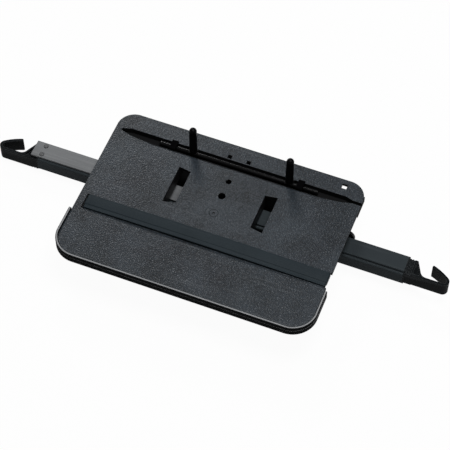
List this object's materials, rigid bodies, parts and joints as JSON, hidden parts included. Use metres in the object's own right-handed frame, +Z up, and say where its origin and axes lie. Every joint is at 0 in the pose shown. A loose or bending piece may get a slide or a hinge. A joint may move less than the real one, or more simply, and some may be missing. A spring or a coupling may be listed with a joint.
{
  "type": "headrest tray mount for a portable video player",
  "caption": "Flat tray that holds a portable video player between two front seats, with a hold-down strap, sliding rear pegs and telescopic arms ending in headrest post hooks.",
  "frame": {"origin": "centre of the large round hole in the tray, at the tray's top surface", "axes": "+Z up out of the tray's top surface, +X to the right along the arms, +Y to the rear, towards the rod and pegs"},
  "size_m": [0.4395, 0.1675, 0.0809],
  "materials": {
    "tray_grain": "pebble grain",
    "edge_trim": "satin",
    "strap": "smooth",
    "rod_gloss": "gloss black",
    "small_black": "satin",
    "peg_black": "semi-gloss",
    "housing_black": "matte",
    "arm_plastic": "satin",
    "arm_strip": "dull grey",
    "hook_plastic": "satin",
    "steel": "plain"
  },
  "bodies": {
    "tray": {"tray_plate": "tray_grain", "front_edge_trim": "edge_trim", "hold_down_strap": "strap", "rail_rod": "rod_gloss", "rod_holder_left": "small_black", "rod_holder_right": "small_black", "arm_housing": "housing_black", "housing_cover": "housing_black", "housing_screws": "steel", "guide_bush_left": "housing_black", "guide_bush_right": "housing_black"},
    "left_arm": {"arm_sleeve_left": "arm_plastic", "arm_strip_left": "arm_strip", "hook_left": "hook_plastic", "hook_rivets_left": "arm_strip", "slider_left": "housing_black", "slider_pin_left": "steel"},
    "right_arm": {"arm_sleeve_right": "arm_plastic", "arm_strip_right": "arm_strip", "hook_right": "hook_plastic", "hook_rivets_right": "arm_strip", "slider_right": "housing_black", "slider_pin_right": "steel"},
    "left_peg": {"peg_left": "peg_black"},
    "right_peg": {"peg_right": "peg_black"}
  },
  "joints": [
    {"name": "left_arm_slide", "type": "slide", "parent": "tray", "child": "left_arm", "axis": [-1, 0, 0], "range_m": [-0.0155, 0.0474]},
    {"name": "right_arm_slide", "type": "slide", "parent": "tray", "child": "right_arm", "axis": [1, 0, 0], "range_m": [-0.0082, 0.0547]},
    {"name": "left_peg_slide", "type": "slide", "parent": "tray", "child": "left_peg", "axis": [1, 0, 0], "range_m": [-0.0122, 0.038]},
    {"name": "right_peg_slide", "type": "slide", "parent": "tray", "child": "right_peg", "axis": [1, 0, 0], "range_m": [-0.0465, 0.0037]}
  ]
}
